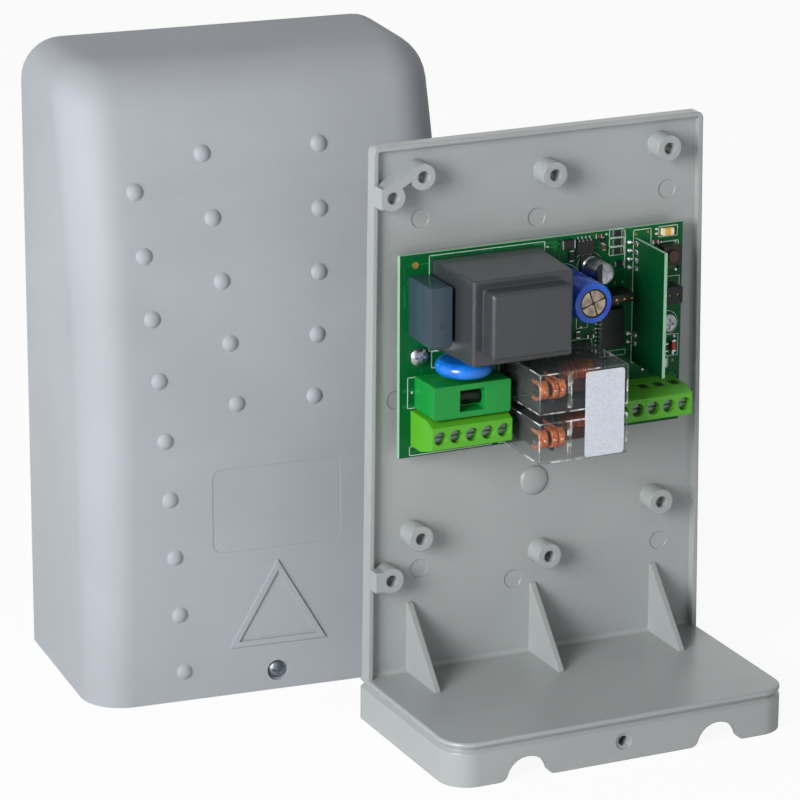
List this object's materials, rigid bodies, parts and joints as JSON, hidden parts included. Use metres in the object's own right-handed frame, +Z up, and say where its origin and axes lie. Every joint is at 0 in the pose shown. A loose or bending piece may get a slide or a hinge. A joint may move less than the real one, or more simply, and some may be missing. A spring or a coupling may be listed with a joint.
{
  "type": "roller shutter control unit",
  "caption": "Control unit for a roller shutter motor: moulded rear base with its circuit board, relays and terminals, and the tall cover lifted off beside it.",
  "frame": {"origin": "on the wall plane, in the middle of the four corner wall screws", "axes": "+X to the right, +Y into the wall, +Z up"},
  "size_m": [0.18, 0.1622, 0.1904],
  "materials": {
    "base_grey": "fine satin moulding",
    "cover_grey": "fine satin moulding",
    "steel": "zinc plated",
    "tin": "bright tin",
    "board_green": "solder mask",
    "potting_grey": "satin",
    "film_blue_grey": "satin",
    "varistor_blue": "dipped coating",
    "fuse_green": "moulded",
    "fuse_glass": "clear",
    "terminal_green": "moulded",
    "black_plastic": "moulded",
    "clear_case": "clear plastic",
    "bobbin": "moulded",
    "copper": "enamelled wire",
    "contact_alloy": "strip",
    "card": "moulded",
    "label_white": "bare sticker",
    "sleeve_blue": "shrink sleeve",
    "can_silver": "satin",
    "gold_pins": "gold plated",
    "switch_brown": "moulded",
    "led_cream": "moulded",
    "diode_red": "glass"
  },
  "bodies": {
    "base": {"rear_base": "base_grey", "circuit_board": "board_green", "board_screws": "steel", "transformer": "potting_grey", "film_capacitor": "film_blue_grey", "varistor": "varistor_blue", "fuse_base": "fuse_green", "fuse_clips": "tin", "terminal_block_left": "terminal_green", "terminal_block_middle": "terminal_green", "terminal_block_right": "terminal_green", "terminal_cages": "tin", "relay_base_lower": "black_plastic", "relay_base_upper": "black_plastic", "relay_case_lower": "clear_case", "relay_case_upper": "clear_case", "relay_bobbin_lower": "bobbin", "relay_bobbin_upper": "bobbin", "relay_winding_lower": "copper", "relay_winding_upper": "copper", "relay_yoke_lower": "steel", "relay_yoke_upper": "steel", "relay_contacts_lower": "contact_alloy", "relay_contacts_upper": "contact_alloy", "relay_label": "label_white", "large_capacitor": "sleeve_blue", "small_capacitor": "can_silver", "receiver_board": "board_green", "receiver_pins": "tin", "receiver_chips": "black_plastic", "pin_headers": "gold_pins", "push_switch": "switch_brown", "indicator_led": "led_cream", "glass_diode": "diode_red", "control_chips": "black_plastic", "chip_resistors": "black_plastic"},
    "cover": {"front_cover": "cover_grey"},
    "cover_screw": {"cover_screw": "steel"},
    "fuse_carrier": {"fuse_carrier": "fuse_green", "fuse_glass": "fuse_glass", "fuse_caps": "tin"},
    "jumper_cap": {"jumper_cap": "black_plastic"},
    "switch_button": {"switch_button": "switch_brown"},
    "relay_armature_lower": {"relay_armature_lower": "steel"},
    "relay_card_lower": {"relay_card_lower": "card"},
    "relay_spring_lower": {"relay_spring_lower": "contact_alloy"},
    "relay_armature_upper": {"relay_armature_upper": "steel"},
    "relay_card_upper": {"relay_card_upper": "card"},
    "relay_spring_upper": {"relay_spring_upper": "contact_alloy"},
    "terminal_screw_1": {"terminal_screw_1": "tin"},
    "terminal_screw_2": {"terminal_screw_2": "tin"},
    "terminal_screw_3": {"terminal_screw_3": "tin"},
    "terminal_screw_4": {"terminal_screw_4": "tin"},
    "terminal_screw_5": {"terminal_screw_5": "tin"},
    "terminal_screw_6": {"terminal_screw_6": "tin"},
    "terminal_screw_7": {"terminal_screw_7": "tin"},
    "terminal_screw_8": {"terminal_screw_8": "tin"},
    "terminal_screw_9": {"terminal_screw_9": "tin"},
    "terminal_screw_10": {"terminal_screw_10": "tin"}
  },
  "joints": [
    {"name": "cover_lift", "type": "slide", "parent": "base", "child": "cover", "axis": [0, 0, 1], "range_m": [0, 0.1]},
    {"name": "cover_screw_turn", "type": "hinge", "parent": "cover", "child": "cover_screw", "pos_m": [-0.06809, 0.03164, -0.10515], "axis": [-0.0854, -0.9963, 0], "continuous": true},
    {"name": "fuse_pull", "type": "slide", "parent": "base", "child": "fuse_carrier", "axis": [0, -1, 0], "range_m": [0, 0.016]},
    {"name": "jumper_pull", "type": "slide", "parent": "base", "child": "jumper_cap", "axis": [0, -1, 0], "range_m": [0, 0.006]},
    {"name": "button_press", "type": "slide", "parent": "base", "child": "switch_button", "axis": [0, 1, 0], "range_m": [0, 0.00025], "stiffness_N_per_m": 400},
    {"name": "armature_swing_lower", "type": "hinge", "parent": "base", "child": "relay_armature_lower", "pos_m": [0.01245, -0.0106, -0.022], "axis": [0, 0, -1], "range_deg": [0, 3], "stiffness_Nm_per_rad": 0.01},
    {"name": "card_slide_lower", "type": "slide", "parent": "base", "child": "relay_card_lower", "axis": [-1, 0, 0], "range_m": [0, 0.00091]},
    {"name": "contact_swing_lower", "type": "hinge", "parent": "base", "child": "relay_spring_lower", "pos_m": [-0.0102, -0.01015, -0.022], "axis": [0, 0, -1], "range_deg": [0, 3.2]},
    {"name": "armature_swing_upper", "type": "hinge", "parent": "base", "child": "relay_armature_upper", "pos_m": [0.01245, -0.0106, -0.0072], "axis": [0, 0, -1], "range_deg": [0, 3], "stiffness_Nm_per_rad": 0.01},
    {"name": "card_slide_upper", "type": "slide", "parent": "base", "child": "relay_card_upper", "axis": [-1, 0, 0], "range_m": [0, 0.00091]},
    {"name": "contact_swing_upper", "type": "hinge", "parent": "base", "child": "relay_spring_upper", "pos_m": [-0.0102, -0.01015, -0.0072], "axis": [0, 0, -1], "range_deg": [0, 3.2]},
    {"name": "terminal_screw_turn_1", "type": "hinge", "parent": "base", "child": "terminal_screw_1", "pos_m": [-0.04036, -0.0202, -0.01965], "axis": [0, -1, 0], "continuous": true},
    {"name": "terminal_screw_turn_2", "type": "hinge", "parent": "base", "child": "terminal_screw_2", "pos_m": [-0.03528, -0.0202, -0.01965], "axis": [0, -1, 0], "continuous": true},
    {"name": "terminal_screw_turn_3", "type": "hinge", "parent": "base", "child": "terminal_screw_3", "pos_m": [-0.0302, -0.0202, -0.01965], "axis": [0, -1, 0], "continuous": true},
    {"name": "terminal_screw_turn_4", "type": "hinge", "parent": "base", "child": "terminal_screw_4", "pos_m": [-0.02512, -0.0202, -0.01965], "axis": [0, -1, 0], "continuous": true},
    {"name": "terminal_screw_turn_5", "type": "hinge", "parent": "base", "child": "terminal_screw_5", "pos_m": [-0.02004, -0.0202, -0.01965], "axis": [0, -1, 0], "continuous": true},
    {"name": "terminal_screw_turn_6", "type": "hinge", "parent": "base", "child": "terminal_screw_6", "pos_m": [0.01869, -0.0202, -0.01965], "axis": [0, -1, 0], "continuous": true},
    {"name": "terminal_screw_turn_7", "type": "hinge", "parent": "base", "child": "terminal_screw_7", "pos_m": [0.02377, -0.0202, -0.01965], "axis": [0, -1, 0], "continuous": true},
    {"name": "terminal_screw_turn_8", "type": "hinge", "parent": "base", "child": "terminal_screw_8", "pos_m": [0.0291, -0.0202, -0.01965], "axis": [0, -1, 0], "continuous": true},
    {"name": "terminal_screw_turn_9", "type": "hinge", "parent": "base", "child": "terminal_screw_9", "pos_m": [0.03418, -0.0202, -0.01965], "axis": [0, -1, 0], "continuous": true},
    {"name": "terminal_screw_turn_10", "type": "hinge", "parent": "base", "child": "terminal_screw_10", "pos_m": [0.03926, -0.0202, -0.01965], "axis": [0, -1, 0], "continuous": true}
  ],
  "couplings": [
    {"joint": "card_slide_lower", "follows": "armature_swing_lower", "m_per_rad": 0.01702},
    {"joint": "contact_swing_lower", "follows": "armature_swing_lower", "ratio": 1.05},
    {"joint": "card_slide_upper", "follows": "armature_swing_upper", "m_per_rad": 0.01702},
    {"joint": "contact_swing_upper", "follows": "armature_swing_upper", "ratio": 1.05}
  ]
}
